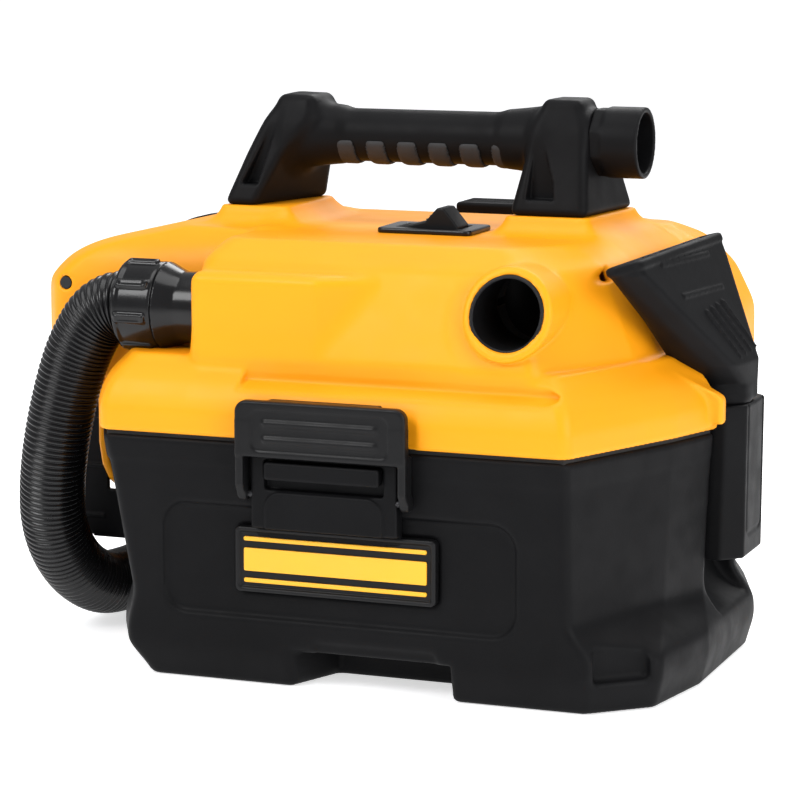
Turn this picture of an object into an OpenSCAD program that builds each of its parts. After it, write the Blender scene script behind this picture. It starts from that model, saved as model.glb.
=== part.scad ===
// Cordless and corded shop vacuum with a lift-off head and a small wet and dry tank.
// Millimetres, +Z up, front faces -Y, origin on the floor under the middle of the machine.

/* [Tank] */
// height of the seam where the head sits on the tank
seam_z = 137; // [130:1:150]
// thickness of the rubber gasket under the head
gasket_t = 3; // [2:0.5:4]
// depth of the recessed front panel
panel_depth = 3; // [1:0.5:4]
// width of the finger notch under the front edge
notch_w = 100; // [60:1:120]

/* [Head] */
// wall thickness of the moulded head shell
shell_t = 3; // [2:0.5:4]
// height of the flat top of the head
deck_z = 240; // [236:1:246]
// radius of the blower port bore
port_r = 18.5; // [16:0.5:22]

/* [Latch and badge] */
// sideways position of the latch middle
latch_x = 8; // [0:1:16]
// width of the latch lever
lever_w = 98; // [80:1:110]
// width of the badge plate
badge_w = 116; // [90:1:120]

/* [Handle] */
// height of the grip axis
grip_z = 290; // [286:1:294]
// front to back position of the grip axis
grip_y = 14; // [8:1:20]
// radius of the grip
grip_r = 15.5; // [14:0.5:17]
// radius of the bore that stores the crevice tool
tool_bore_r = 11.05; // [10:0.05:12]

/* [Hose] */
// outside radius of the ribbed hose
hose_r = 19; // [17:0.5:20]
// height of the inlet axis
inlet_z = 200; // [196:1:204]
// front to back position of the inlet axis
inlet_y = -92; // [-96:1:-88]

/* [Motor] */
// sideways position of the motor axis
motor_x = 62; // [50:1:70]
// front to back position of the motor axis
motor_y = 10; // [0:1:20]
// radius of the fan wheel
fan_r = 46; // [40:1:50]
// number of blades on the fan wheel
fan_blades = 9; // [7:1:11]

/* [Filter] */
// radius of the pleated filter
filter_r = 44; // [38:1:50]
// height of the pleated filter
filter_h = 62; // [50:1:70]

/* [Hidden] */
$fn = 48;
eps = 0.01;
yellow = [1.0, 0.72, 0.1];
dark = [0.13, 0.13, 0.14];
gloss = [0.06, 0.06, 0.07];
steel = [0.7, 0.7, 0.72];
gasket_z = seam_z - gasket_t;
holder_x = 186;
holder_y = 5;
badge_x = 12;
pack_x = -123;
arm_in = lever_w / 2 - 5;
// latch pivot height and depth
pivot_z = 108;
pivot_y = -142.5;

// which part to draw

// Plan outlines, counter-clockwise from the front left corner.
foot_low = [[-98, -133], [152, -133], [182, -106], [192, -51], [192, 46], [176, 92],
    [150, 106], [-112, 106], [-130, 92], [-140, 50], [-138, -58], [-120, -100]];
foot_mid = [[-112, -138], [154, -138], [187, -108], [197, -51], [197, 48], [180, 96],
    [152, 110], [-116, 110], [-136, 95], [-147, 52], [-146, -60], [-130, -104]];
waist = [[-108, -137], [143, -137], [174, -62], [185, -22], [185, 48], [168, 94],
    [146, 108], [-112, 108], [-131, 94], [-143, 50], [-143, -62], [-124, -104]];
rim = [[-124, -138], [141, -138], [176, -56], [188, -20], [186, 56], [165, 96],
    [145, 110], [-118, 110], [-138, 96], [-149, 56], [-149, -62], [-138, -110]];
well = [[-92, -96], [138, -96], [152, -60], [160, -36], [160, 46], [152, 90],
    [140, 102], [-104, 102], [-118, 90], [-128, 48], [-128, -58], [-112, -92]];
cavity = [[-98, -129], [136, -129], [156, -62], [160, -36], [160, 46], [158, 90],
    [140, 103], [-108, 103], [-126, 90], [-136, 48], [-136, -58], [-118, -100]];

// Head outlines: the lower band over the tank, then the body, its left wing and its right heel.
band = inset(rim, -3);
ledge = [[-118, -127], [122, -128], [157, -60], [160, -34], [160, 56], [156, 92],
    [142, 106], [-116, 106], [-134, 92], [-144, 54], [-145, -60], [-133, -104]];
main_low = [[-80, -126], [118, -126], [154, -56], [160, -30], [160, 60], [158, 152], [-80, 152]];
main_mid = [[-80, -128], [120, -128], [156, -58], [160, -30], [160, 60], [158, 150], [-80, 150]];
main_high = [[-80, -110], [106, -108], [136, -60], [144, -28], [150, 58], [140, 116], [-80, 116]];
main_top = [[-72, -90], [92, -88], [116, -52], [126, -20], [134, 50], [120, 76], [-72, 76]];
wing_low = [[-204, -46], [-192, -62], [-60, -62], [-60, 151.5], [-184, 151.5], [-204, 132]];
wing_mid = [[-204, -46], [-192, -62], [-60, -62], [-60, 149.5], [-182, 149.5], [-204, 128]];
wing_up = [[-204, -46], [-192, -62], [-60, -62], [-60, 130], [-172, 130], [-194, 106]];
wing_high = [[-177, -38], [-166, -54], [-60, -58], [-60, 115.5], [-150, 104], [-172, 76]];
wing_top = [[-122, -26], [-112, -42], [-60, -52], [-60, 75.5], [-112, 74], [-121, 62]];
heel_low = [[140, 54], [178, 54], [178, 122], [160, 151], [140, 151]];
heel_mid = [[140, 54], [178, 54], [178, 120], [160, 149], [140, 149]];
heel_high = [[130, 58], [158, 58], [158, 92], [140, 115], [130, 115]];
heel_top = [[120, 56], [136, 56], [134, 64], [126, 75], [120, 75]];

// Centre line of the hose, from the collar round the left side and the back to the parked cuff.
hose_route = [[-131, -92, 200], [-139, -92, 199], [-148, -92, 194], [-156, -92, 184],
    [-165, -92, 166], [-173, -92, 140], [-179, -91, 114], [-184, -86, 90], [-187, -79, 70],
    [-187, -68, 51], [-184, -53, 35], [-180, -32, 24], [-177, -4, 21], [-175, 30, 21], [-173, 66, 21], [-164, 101, 21],
    [-140, 125, 21], [-106, 132, 21], [-66, 133, 21], [-26, 133, 21], [14, 133, 21],
    [54, 133, 21], [88, 133, 22], [118, 132, 27], [141, 131, 43], [148, 130, 66],
    [137, 130, 88], [112, 130, 99], [80, 130, 102], [44, 130, 102], [8, 130, 102],
    [-32, 130, 102], [-72, 130, 102], [-110, 130, 102], [-144, 126, 102], [-172, 108, 102],
    [-184, 80, 102], [-187, 52, 102]];

function unit(v) = v / norm(v);

// Moves every edge of a counter-clockwise outline inwards by d.
function inset(p, d) = [for (i = [0 : len(p) - 1])
    let (n = len(p),
        a = unit(p[i] - p[(i + n - 1) % n]),
        b = unit(p[(i + 1) % n] - p[i]),
        na = [-a[1], a[0]],
        nb = [-b[1], b[0]])
    p[i] + (na + nb) * d / (1 + na * nb)];

// Solid through a stack of outlines, each given as [height, outline].
module loft(levels) {
    n = len(levels[0][1]);
    m = len(levels);
    pts = [for (l = levels) for (p = l[1]) [p[0], p[1], l[0]]];
    low = [[for (i = [0 : n - 1]) i]];
    high = [[for (i = [n - 1 : -1 : 0]) (m - 1) * n + i]];
    left = [for (k = [0 : m - 2]) for (i = [0 : n - 1])
        [k * n + i, (k + 1) * n + i, (k + 1) * n + (i + 1) % n]];
    right = [for (k = [0 : m - 2]) for (i = [0 : n - 1])
        [k * n + i, (k + 1) * n + (i + 1) % n, k * n + (i + 1) % n]];
    polyhedron(points = pts, faces = concat(low, high, left, right));
}

// Box given by its low and high corners.
module box(a, b) {
    translate(a)
        cube(b - a);
}

// Cylinder along X or Y that starts at p.
module rod_x(p, r, h) {
    translate(p)
        rotate([0, 90, 0])
            cylinder(r = r, h = h);
}

module rod_y(p, r, h) {
    translate(p)
        rotate([-90, 0, 0])
            cylinder(r = r, h = h);
}

// Upright plate with rounded corners, facing the front, from y to y + t.
module plate_y(x, z, w, h, r, y, t) {
    translate([x, y + t, z])
        rotate([90, 0, 0])
            linear_extrude(t)
                hull()
                    for (sx = [-1, 1], sz = [-1, 1])
                        translate([sx * (w / 2 - r), sz * (h / 2 - r)])
                            circle(r, $fn = 32);
}

// Smooth curve through four neighbouring points of the route.
function curve(a, b, c, d, t) = 0.5 * (2 * b + (c - a) * t
    + (2 * a - 5 * b + 4 * c - d) * t * t + (3 * b - a - 3 * c + d) * t * t * t);

function route_points(p) = let (n = len(p)) [for (i = [0 : n - 2]) for (k = [0 : 1])
    curve(p[max(i - 1, 0)], p[i], p[i + 1], p[min(i + 2, n - 1)], k / 2), p[n - 1]];

function carry(u, t) = unit(u - (u * t) * t);

// Tube swept along a list of points, with flat ends.
module sweep(p, r, sides) {
    n = len(p);
    dirs = [for (i = [0 : n - 1])
        i == 0 ? [-1, 0, 0] : i == n - 1 ? [0, -1, 0] : unit(p[i + 1] - p[i - 1])];
    ups = [for (i = 0, u = carry([0, 0, 1], dirs[0]); i < n;
        i = i + 1, u = i < n ? carry(u, dirs[i]) : u) u];
    pts = [for (i = [0 : n - 1]) for (k = [0 : sides - 1])
        let (a = 360 * k / sides)
        p[i] + r * (cos(a) * ups[i] + sin(a) * cross(dirs[i], ups[i]))];
    start = [[for (k = [0 : sides - 1]) k]];
    finish = [[for (k = [sides - 1 : -1 : 0]) (n - 1) * sides + k]];
    one = [for (i = [0 : n - 2]) for (k = [0 : sides - 1])
        [i * sides + k, (i + 1) * sides + k, (i + 1) * sides + (k + 1) % sides]];
    two = [for (i = [0 : n - 2]) for (k = [0 : sides - 1])
        [i * sides + k, (i + 1) * sides + (k + 1) % sides, i * sides + (k + 1) % sides]];
    polyhedron(points = pts, faces = concat(start, finish, one, two));
}

module tank() {
    color(dark)
    difference() {
        loft([[0, foot_low], [20, foot_mid], [34, inset(foot_mid, 1)], [50, waist],
            [gasket_z, rim]]);
        loft([[5, well], [24, well], [34, cavity], [gasket_z + 1, cavity]]);
        // finger notch under the front edge
        translate([0, 0, -1])
            linear_extrude(21)
                polygon([[26 - notch_w / 2, -150], [50 - notch_w / 2, -100],
                    [27 + notch_w / 2, -100], [27 + notch_w / 2, -150]]);
        // recessed panel and the pocket for the badge
        plate_y(badge_x, 68, 204, 60, 12, -150, 12 + panel_depth);
        plate_y(badge_x, 70.5, badge_w + 3, 39, 4, -150, 16.5);
        // pocket for the latch bracket
        box([latch_x - arm_in + 0.5, -150, 89], [latch_x + arm_in - 0.5, -135, 129]);
        // channel for the nozzle holder
        box([164, -18.5, 56], [220, 42, 150]);
    }
}

module tank_gasket() {
    color([0.05, 0.05, 0.05])
    translate([0, 0, gasket_z])
        linear_extrude(gasket_t)
            difference() {
                polygon(inset(rim, 1));
                polygon(cavity);
                translate([163, -19.5])
                    square([30, 62.5]);
            }
}

module badge_plate() {
    color(dark)
    difference() {
        plate_y(badge_x, 70.5, badge_w, 36, 3, -139.5, 6);
        plate_y(badge_x, 70.5, badge_w - 5, 31, 1.5, -140.5, 2.5);
    }
}

module badge_bars() {
    color(yellow)
    for (z = [-11.5, 0, 11.5])
        box([badge_x - badge_w / 2 + 5, -139.2, 70.5 + z - (z == 0 ? 7 : 1.5)],
            [badge_x + badge_w / 2 - 5, -138, 70.5 + z + (z == 0 ? 7 : 1.5)]);
}

module latch_bracket() {
    color(dark)
    difference() {
        union() {
            box([latch_x - arm_in + 0.5, -146, 89], [latch_x + arm_in - 0.5, -135, 129]);
            box([latch_x - 33, -148.5, 117], [latch_x + 33, -142, 126]);
        }
        box([latch_x - 33, -150, 111], [latch_x + 33, -139, 117]);
        rod_x([latch_x - arm_in - 1, pivot_y, pivot_z], 2.01, 2 * arm_in + 2);
    }
}

module latch_pin() {
    color(steel)
    for (s = [-1, 1])
        rod_x([latch_x + s * (lever_w / 2 - 6) - 6, pivot_y, pivot_z], 2, 12);
}

module latch_lever() {
    color(dark)
    difference() {
        union() {
            box([latch_x - lever_w / 2, -151, 130], [latch_x + lever_w / 2, -144.5, 160]);
            for (s = [-1, 1]) {
                box([latch_x + s * (lever_w / 2 - 2.25) - 2.25, -150.5, pivot_z],
                    [latch_x + s * (lever_w / 2 - 2.25) + 2.25, -139.8, 132]);
                rod_x([latch_x + s * (lever_w / 2 - 2.25) - 2.25, pivot_y, pivot_z], 4.2, 4.5);
            }
            // hook that reaches over the lip of the head
            box([latch_x - 32, -146, 155], [latch_x + 32, -139, 160]);
            // raised finger ridges
            for (z = [139, 148])
                box([latch_x - 30, -152, z - 2.5], [latch_x + 30, -150, z + 2.5]);
        }
        rod_x([latch_x - lever_w, pivot_y, pivot_z], 2.05, 2 * lever_w);
    }
}

module head_shell() {
    color(yellow)
    difference() {
        union() {
            difference() {
                union() {
                    loft([[seam_z, band], [155.5, band], [168, ledge], [172, inset(ledge, 8)]]);
                    upper_body(0);
                    // raised block behind the hose inlet
                    box([-80, -126, 175], [18, -60, 225]);
                    // blower port
                    rod_y([103, -124, 209], port_r + 4, 50);
                    // ear in front of the nozzle holder
                    hull() {
                        box([170, -27, 141], [196, -19, 156]);
                        box([155, -46, 175], [158, -32, 178]);
                    }
                    // feet of the handle
                    post_foot(-112, -40);
                    post_foot(60, 128);
                }
                loft([[seam_z - 1, inset(band, shell_t + 2)], [153, inset(band, shell_t + 2)],
                    [165, inset(ledge, shell_t)], [167, inset(ledge, 12)]]);
                upper_body(shell_t);
            }
            // walls round the battery bay
            intersection() {
                upper_body(0);
                box([pack_x - 66, 36, 150.5], [pack_x + 66, 156, 202]);
            }
        }
        box([pack_x - 50.5, 40, 157.5], [pack_x + 50.5, 160, 198.5]);
        box([pack_x - 20, 118, 190], [pack_x + 20, 160, 208]);
        // hose inlet, port and switch openings
        rod_x([-90, inlet_y, inlet_z], 17.05, 60);
        box([-77, -122, 179], [14, -70, 221]);
        rod_y([103, -130, 209], port_r + 2, 60);
        box([4, -35, 225], [48, -9, 245]);
        // recess for the latch lever and the slot for its hook
        box([latch_x - lever_w / 2 - 1.5, -160, 130], [latch_x + lever_w / 2 + 1.5, -140, 164]);
        box([latch_x - 34, -160, 130], [latch_x + 34, -138, 164]);
        // recess for the nozzle and its holder
        box([164.5, -18.5, 130], [220, 42, 190]);
        // seats of the cord box and the vent cowl
        box([-5.5, 100, 224], [37.5, 160, 250]);
        cowl_seat();
        for (p = [[-186, -70, 206], [138, -79, 224]])
            rod_y(p, 3.5, 31);
    }
}

// Upper body of the head, its left wing and its rear right heel, shrunk by t all round.
module upper_body(t) {
    body_part(main_low, main_mid, main_high, main_top, t);
    body_part(wing_low, wing_mid, wing_high, wing_top, t, [[208, inset(wing_up, t)]]);
    body_part(heel_low, heel_mid, heel_high, heel_top, t);
}

module body_part(low, mid, high, top, t, up = []) {
    loft(concat([[151 + t, inset(low, 3 + t)], [157 + t, inset(low, t)], [178, inset(mid, t)]],
        up, [[230 - t / 2, inset(high, t)], [deck_z - t, inset(top, t)]]));
}

// Foot under one handle post.
module post_foot(a, b) {
    hull() {
        box([a, -34, 228], [b, 66, 230]);
        box([a + 8, -20, 249], [b - 12, 50, 250]);
    }
}

// Side panel that hangs from the left wing between the tank and the stored hose.
module side_skirt() {
    color(yellow)
    translate([-171.5, 0, 0])
        rotate([90, 0, 90])
            linear_extrude(4.5)
                polygon([[-51, 151], [-51, 112], [-47, 98], [-38, 87], [-22, 78], [-12, 75],
                    [-12, 151]]);
}

// Upright rib that keeps the stored hose away from the tank.
module hose_cradle() {
    color(dark)
    translate([0, -36, 0])
        rotate([90, 0, 0])
            linear_extrude(4)
                polygon([[-190, 151], [-190, 62], [-181, 53], [-154, 53], [-154, 82],
                    [-171.5, 82], [-171.5, 151]]);
}

module motor_deck() {
    color(dark)
    translate([0, 0, seam_z])
        linear_extrude(4)
            difference() {
                polygon(inset(rim, 2));
                translate([motor_x, motor_y])
                    circle(20);
                translate([-40, -92])
                    circle(17.05);
                translate([163, -19.5])
                    square([30, 62.5]);
            }
}

module inlet_tube() {
    color(dark)
    difference() {
        union() {
            rod_x([-78, inlet_y, inlet_z], 17, 54);
            translate([-40, -92, 128])
                cylinder(r = 17, h = 72);
        }
        rod_x([-79, inlet_y, inlet_z], 15, 52);
        translate([-40, -92, 127])
            cylinder(r = 15, h = 73);
    }
}

module port_liner() {
    color(dark)
    difference() {
        rod_y([103, -125, 209], port_r + 2, 44);
        rod_y([103, -126, 209], port_r, 42);
    }
}

module nozzle_holder() {
    color(dark)
    difference() {
        union() {
            translate([0, 0, 62])
                linear_extrude(87)
                    polygon([[168, -16], [195, -16], [204, -5], [204, 38], [168, 38]]);
            box([160, -16, 141.5], [170, 30, 149]);
        }
        translate([holder_x, holder_y, 66])
            cylinder(r = 16.05, h = 90);
        plate_side();
    }
}

// Shallow frame line on the outer face of the holder.
module plate_side() {
    difference() {
        box([203, 0, 72], [210, 32, 140]);
        box([202, 2, 74], [211, 30, 138]);
    }
}

module handle() {
    color(dark)
    difference() {
        union() {
            // left post
            loft([[250, [[-106, -20], [-86, -20], [-66, 50], [-98, 50]]],
                [300, [[-86, -6], [-54, -6], [-48, 32], [-84, 32]]],
                [313, [[-76, 0], [-56, 0], [-54, 28], [-74, 28]]]]);
            // right post
            loft([[250, [[68, -20], [114, -20], [122, 50], [76, 50]]],
                [298, [[76, -7], [110, -7], [110, 33], [76, 33]]],
                [314, [[80, 0], [106, 0], [106, 28], [82, 28]]]]);
            // grip
            rod_x([-70, grip_y, grip_z], grip_r, 160);
            rod_x([103, grip_y, grip_z], 19, 7);
        }
        rod_x([-52, grip_y, grip_z], tool_bore_r, 170);
        rod_x([110, grip_y, grip_z], 20.5, 20);
        // wedge recess on the front of each post
        box([-84, -30, 262], [-74, -11, 294]);
        box([80, -30, 258], [92, -13, 292]);
    }
}

module grip_pads() {
    color([0.2, 0.2, 0.21])
    difference() {
        for (i = [0 : 5])
            rod_x([-44 + i * 19, grip_y, grip_z], grip_r + 1.5, 14);
        rod_x([-50, grip_y, grip_z], grip_r, 130);
        box([-60, -20, grip_z - 5], [90, 40, grip_z + 30]);
    }
}

module handle_screws() {
    color(steel)
    for (p = [[-90, 0], [-84, 36], [92, 0], [98, 36]])
        translate([p[0], p[1], 234]) {
            cylinder(r = 2, h = 30);
            cylinder(r = 4, h = 3);
        }
}

module head_screws() {
    color(steel)
    for (p = [[-186, -61, 206], [138, -52, 224]])
        rod_y(p, 3.5, 4);
}

module switch_bezel() {
    color(gloss)
    difference() {
        union() {
            box([-2, -41, 240], [54, -3, 243]);
            box([4.2, -34.8, 231], [47.8, -9.2, 240]);
        }
        box([7, -32, 227], [45, -12, 250]);
        rod_y([26, -34.7, 238], 1.55, 25.4);
    }
}

module switch_rocker() {
    color(dark)
    union() {
        translate([0, -12.6, 0])
            rotate([90, 0, 0])
                linear_extrude(18.8)
                    polygon([[9, 237], [43, 237], [43, 244], [34, 254], [31, 254], [24, 247],
                        [9, 243]]);
        rod_y([26, -34, 238], 1.5, 24);
    }
}

module motor_housing() {
    color(dark)
    translate([motor_x, motor_y, 169])
        difference() {
            cylinder(r = 42, h = 61);
            difference() {
                translate([0, 0, -1])
                    cylinder(r = 39, h = 60);
                // seat of the upper bearing
                translate([0, 0, 52])
                    cylinder(r = 14, h = 8);
            }
            translate([0, 0, 51])
                cylinder(r = 9, h = 6.5);
            for (a = [0 : 45 : 315])
                rotate([0, 0, a])
                    translate([36, -4, 42])
                        cube([10, 8, 12]);
        }
}

module motor_stator() {
    color([0.45, 0.45, 0.48])
    translate([motor_x, motor_y, 178])
        difference() {
            cylinder(r = 38.95, h = 34);
            translate([0, 0, -1])
                cylinder(r = 24, h = 36);
        }
}

module motor_armature() {
    color([0.7, 0.4, 0.2])
    translate([motor_x, motor_y, 180])
        difference() {
            union() {
                cylinder(r = 22.5, h = 30);
                translate([0, 0, 30])
                    cylinder(r = 12, h = 10);
            }
            translate([0, 0, -1])
                cylinder(r = 4, h = 42);
        }
}

module motor_shaft() {
    color(steel)
    translate([motor_x, motor_y, 144])
        cylinder(r = 4, h = 82);
}

module motor_bearings() {
    color(steel)
    for (z = [170, 221])
        translate([motor_x, motor_y, z])
            difference() {
                cylinder(r = z == 170 ? 38.95 : 9, h = 5);
                translate([0, 0, -1])
                    cylinder(r = 4.03, h = 7);
            }
}

module fan_housing() {
    color(dark)
    translate([motor_x, motor_y, 141])
        difference() {
            cylinder(r = 54, h = 28);
            translate([0, 0, 3])
                cylinder(r = 51, h = 22);
            translate([0, 0, -1])
                cylinder(r = 20, h = 10);
            translate([0, 0, 20])
                cylinder(r = 12, h = 10);
            translate([0, -60, 14])
                cube([30, 40, 16], center = true);
        }
}

module fan_wheel() {
    color([0.75, 0.75, 0.78])
    translate([motor_x, motor_y, 147])
        difference() {
            union() {
                translate([0, 0, 13])
                    cylinder(r = fan_r, h = 2);
                cylinder(r = 9, h = 14);
                for (i = [0 : fan_blades - 1])
                    rotate([0, 0, i * 360 / fan_blades])
                        translate([22, 0, 0])
                            rotate([0, 0, 35])
                                translate([0, -0.75, 0])
                                    cube([22, 1.5, 14]);
                difference() {
                    cylinder(r = fan_r, h = 1.5);
                    translate([0, 0, -1])
                        cylinder(r = 20, h = 4);
                }
            }
            translate([0, 0, -1])
                cylinder(r = 4, h = 20);
        }
}

module fan_nut() {
    color(steel)
    translate([motor_x, motor_y, 142.5])
        difference() {
            cylinder(r = 6.5, h = 4.5, $fn = 6);
            translate([0, 0, -1])
                cylinder(r = 4, h = 7);
        }
}

module filter_cage() {
    color(dark)
    translate([motor_x, motor_y, 0])
        difference() {
            union() {
                translate([0, 0, 132])
                    cylinder(r = filter_r, h = 5);
                translate([0, 0, 60])
                    cylinder(r = 24, h = 74);
            }
            translate([0, 0, 64])
                cylinder(r = 20, h = 80);
            for (a = [0 : 60 : 300])
                rotate([0, 0, a])
                    translate([15, -6, 68])
                        cube([20, 12, 56]);
        }
}

module filter_element() {
    color([0.9, 0.9, 0.88])
    translate([motor_x, motor_y, 131.9 - filter_h])
        difference() {
            union() {
                cylinder(r = filter_r, h = 4);
                translate([0, 0, filter_h - 4])
                    cylinder(r = filter_r, h = 4);
                cylinder(r = filter_r - 3, h = filter_h);
                for (a = [0 : 10 : 350])
                    rotate([0, 0, a])
                        translate([filter_r - 4, -1, 3])
                            cube([3.5, 2, filter_h - 6]);
            }
            translate([0, 0, -1])
                cylinder(r = 24.05, h = filter_h + 2);
        }
}

module filter_knob() {
    color(yellow)
    translate([motor_x, motor_y, 56])
        difference() {
            union() {
                translate([0, 0, 8])
                    cylinder(r = filter_r - 10, h = 5);
                cylinder(r = 15, h = 9);
                for (a = [0, 60, 120])
                    rotate([0, 0, a])
                        translate([-19, -2.5, 1])
                            cube([38, 5, 8]);
            }
            translate([0, 0, 3.9])
                cylinder(r = 24.05, h = 20);
        }
}

module float_ball() {
    color([0.9, 0.4, 0.1])
    translate([motor_x, motor_y, 80.2])
        sphere(r = 16);
}

module control_board() {
    color([0.1, 0.35, 0.15])
    union() {
        box([-50, -20, 160], [-48.4, 40, 215]);
        box([-48.5, -10, 170], [-34, 10, 200]);
        box([-48.5, 16, 168], [-40, 34, 184]);
    }
}

module terminal_block() {
    color(gloss)
    union() {
        box([pack_x - 27, 40, 170], [pack_x + 27, 48, 192]);
        for (i = [0 : 4])
            box([pack_x - 20 + i * 9, 47, 173], [pack_x - 17 + i * 9, 56, 189]);
    }
}

module muffler_foam() {
    color([0.25, 0.25, 0.27])
    difference() {
        box([82, -88, 186], [117, -62, 220]);
        rod_y([103, -110, 209], port_r + 2.6, 60);
    }
}

// Black box at the back where the mains cord enters, with its gland bore.
module cord_inlet_box() {
    color(dark)
    difference() {
        box([-5.5, 100, 224], [37.5, 130, 244]);
        rod_y([16, 112, 234], 5, 30);
    }
}

// Arched cover of the air outlet at the rear left, which stands proud of the sloping wing.
module vent_cowl() {
    color(dark)
    difference() {
        cowl_seat();
        rod_y([-160, 90, 175], 52, 19);
        for (i = [0 : 5])
            box([-186 + i * 9, 105, 210], [-182 + i * 9, 120, 219]);
    }
}

// Space that the arched cover fills.
module cowl_seat() {
    intersection() {
        rod_y([-160, 96, 175], 56, 16);
        box([-204, 90, 206], [-112, 120, 240]);
    }
}

module battery_pack() {
    color([0.12, 0.12, 0.13])
    difference() {
        union() {
            box([pack_x - 49, 60, 158], [pack_x + 49, 136, 198]);
            box([pack_x - 33, 50, 166], [pack_x + 33, 66, 196]);
        }
        box([pack_x - 29, 44, 168], [pack_x + 29, 58, 194]);
        box([pack_x - 17, 126, 188], [pack_x + 17, 140, 200]);
    }
}

module battery_button() {
    color([0.75, 0.1, 0.08])
    box([pack_x - 16, 128, 189], [pack_x + 16, 135.5, 197]);
}

// Spigot under the left wing that parks the free end of the hose.
module hose_stub() {
    color(dark)
    difference() {
        union() {
            rod_y([-187, -4, 102], 16, 30);
            rod_y([-187, -8, 102], 20, 4);
            box([-189, -8, 116], [-185, 18, 151]);
        }
        rod_y([-187, -9, 102], 13, 36);
    }
}

module hose_connector() {
    color(gloss)
    difference() {
        union() {
            rod_x([-100, inlet_y, inlet_z], 17, 22);
            translate([-106, inlet_y, inlet_z])
                rotate([0, 90, 0])
                    cylinder(r1 = 25, r2 = 20, h = 10);
            rod_x([-100, inlet_y, inlet_z], 20, 19);
            rod_x([-131, inlet_y, inlet_z], 20, 26);
        }
        rod_x([-132, inlet_y, inlet_z], 14.5, 60);
    }
}

module collar_nut() {
    color(gloss)
    difference() {
        union() {
            rod_x([-130, inlet_y, inlet_z], 25, 23.5);
            for (a = [0 : 45 : 315])
                translate([-128, inlet_y, inlet_z])
                    rotate([a, 0, 0])
                        translate([0, -3, 24])
                            cube([19, 6, 2.5]);
        }
        rod_x([-131, inlet_y, inlet_z], 20.05, 26);
    }
}

module hose() {
    color([0.08, 0.08, 0.08])
    sweep(route_points(hose_route), hose_r, 10);
}

module hose_cuff() {
    color(gloss)
    difference() {
        union() {
            rod_y([-187, 2, 102], 18, 50);
            rod_y([-187, 34, 102], 20, 18);
        }
        rod_y([-187, 1, 102], 16, 28);
        rod_y([-187, 20, 102], 14, 22);
    }
}

module wide_nozzle() {
    color(dark)
    difference() {
        union() {
            translate([holder_x, holder_y, 78])
                cylinder(r = 16, h = 78);
            nozzle_horn(0);
        }
        translate([holder_x, holder_y, 77])
            cylinder(r = 13, h = 84);
        nozzle_horn(2.5);
    }
}

// Flared part of the nozzle, shrunk by t all round for the hollow.
module nozzle_horn(t) {
    translate([175, -15, 0])
        rotate([0, 0, -9.3])
            loft([[151, mouth(-9.4, 24.6, 4.5, 38.5, t)], [162, mouth(-9.5, 24.6, 3, 38.5, t)],
                [200, mouth(-11, 13.3, -44, 41.8, t)], [228, mouth(-15.8, 2, -78, 44, t)],
                [241 + t / 5, mouth(-17.8, -2.8, -80.5, 43.5, t)]]);
}

function mouth(a, b, c, d, t) = [[a + t, c + t], [b - t, c + t], [b - t, d - t], [a + t, d - t]];

module crevice_tool() {
    color(dark)
    difference() {
        union() {
            rod_x([110.5, grip_y, grip_z], 20, 28);
            rod_x([-50, grip_y, grip_z], 11, 170);
        }
        rod_x([112, grip_y, grip_z], 17, 30);
        rod_x([-60, grip_y, grip_z], 8.5, 190);
    }
}

tank();
tank_gasket();
badge_plate();
badge_bars();
latch_bracket();
latch_pin();
latch_lever();
head_shell();
motor_deck();
inlet_tube();
port_liner();
nozzle_holder();
side_skirt();
hose_cradle();
handle();
grip_pads();
handle_screws();
head_screws();
switch_bezel();
switch_rocker();
motor_housing();
motor_stator();
motor_armature();
motor_shaft();
motor_bearings();
fan_housing();
fan_wheel();
fan_nut();
filter_cage();
filter_element();
filter_knob();
float_ball();
control_board();
terminal_block();
muffler_foam();
cord_inlet_box();
vent_cowl();
battery_pack();
battery_button();
hose_stub();
hose_connector();
collar_nut();
hose();
hose_cuff();
wide_nozzle();
crevice_tool();
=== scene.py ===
import math

import bpy
import numpy as np
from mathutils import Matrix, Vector


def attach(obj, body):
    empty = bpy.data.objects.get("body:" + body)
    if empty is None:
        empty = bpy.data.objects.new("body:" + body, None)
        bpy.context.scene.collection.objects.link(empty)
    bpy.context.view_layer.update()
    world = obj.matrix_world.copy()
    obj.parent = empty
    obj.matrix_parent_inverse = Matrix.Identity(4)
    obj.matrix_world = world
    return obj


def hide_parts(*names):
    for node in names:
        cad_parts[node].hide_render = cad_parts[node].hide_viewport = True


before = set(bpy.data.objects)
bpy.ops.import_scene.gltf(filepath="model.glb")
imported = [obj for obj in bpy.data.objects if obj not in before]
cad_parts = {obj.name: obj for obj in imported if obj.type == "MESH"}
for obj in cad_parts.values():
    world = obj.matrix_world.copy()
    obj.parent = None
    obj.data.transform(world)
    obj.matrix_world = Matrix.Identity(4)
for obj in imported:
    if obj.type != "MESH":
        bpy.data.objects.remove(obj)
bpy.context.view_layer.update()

MM = 0.001

# ---------------------------------------------------------------- camera

camera = bpy.data.objects.new("camera", bpy.data.cameras.new("camera"))
bpy.context.scene.collection.objects.link(camera)
camera.data.lens = 138.6
camera.data.sensor_width = 36
camera.data.clip_start = 0.05
camera.location = (0.6209, -1.6396, 0.4307)
camera.rotation_euler = (Vector((-0.003, 0, 0.13867)) - camera.location).to_track_quat("-Z", "Y").to_euler()
bpy.context.scene.camera = camera

# ---------------------------------------------------------------- distance fields, in millimetres
# Each field takes points as an (n, 3) array and returns how far they are outside the shape.


def length(*c):
    """Length of the vectors with these components."""
    return np.sqrt(sum(x * x for x in c))


def smin(a, b, k):
    """Union of two fields with a fillet about k wide."""
    h = np.maximum(k - np.abs(a - b), 0) / k
    return np.minimum(a, b) - h * h * k / 4


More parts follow.
